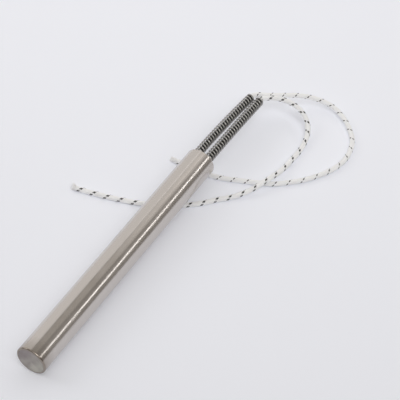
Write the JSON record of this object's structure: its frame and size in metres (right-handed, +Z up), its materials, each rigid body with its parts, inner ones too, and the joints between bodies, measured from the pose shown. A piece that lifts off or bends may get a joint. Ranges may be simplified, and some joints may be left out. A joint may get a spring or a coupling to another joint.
{
  "type": "cartridge heater",
  "caption": "Round metal-sheathed cartridge heater with a welded tip, coil springs guarding its lead exits and loose braided leads, for heating a drilled die or mould.",
  "frame": {"origin": "on the table, below the middle of the heater without its leads", "axes": "+X from the welded tip to the springs, +Y to the left lead's side, +Z up"},
  "size_m": [0.2326, 0.1116, 0.0201],
  "materials": {
    "sheath_steel": "drawn and lightly polished stainless tube",
    "tip_steel": "welded and faced stainless disc",
    "spring_steel": "bright drawn spring wire",
    "glass_braid": "white glass-fibre braid with a black tracer",
    "cap_ceramic": "fired, matt",
    "core_ceramic": "fired, matt",
    "magnesia": "compacted powder",
    "cement": "set cement",
    "resistance_wire": "drawn alloy wire",
    "pin_nickel": "drawn nickel",
    "crimp_brass": "drawn barrel"
  },
  "bodies": {
    "root": {"sheath": "sheath_steel", "end_disc": "tip_steel", "tip_insulator": "magnesia", "core_1": "core_ceramic", "core_2": "core_ceramic", "core_3": "core_ceramic", "core_4": "core_ceramic", "core_5": "core_ceramic", "resistance_winding": "resistance_wire", "magnesia_fill": "magnesia", "long_pin": "pin_nickel", "short_pin": "pin_nickel", "lead_spacer": "core_ceramic", "left_crimp": "crimp_brass", "right_crimp": "crimp_brass", "left_conductor": "pin_nickel", "right_conductor": "pin_nickel", "cement_seal": "cement", "lead_cap": "cap_ceramic", "left_spring": "spring_steel", "right_spring": "spring_steel", "left_lead": "glass_braid", "right_lead": "glass_braid"}
  },
  "joints": []
}
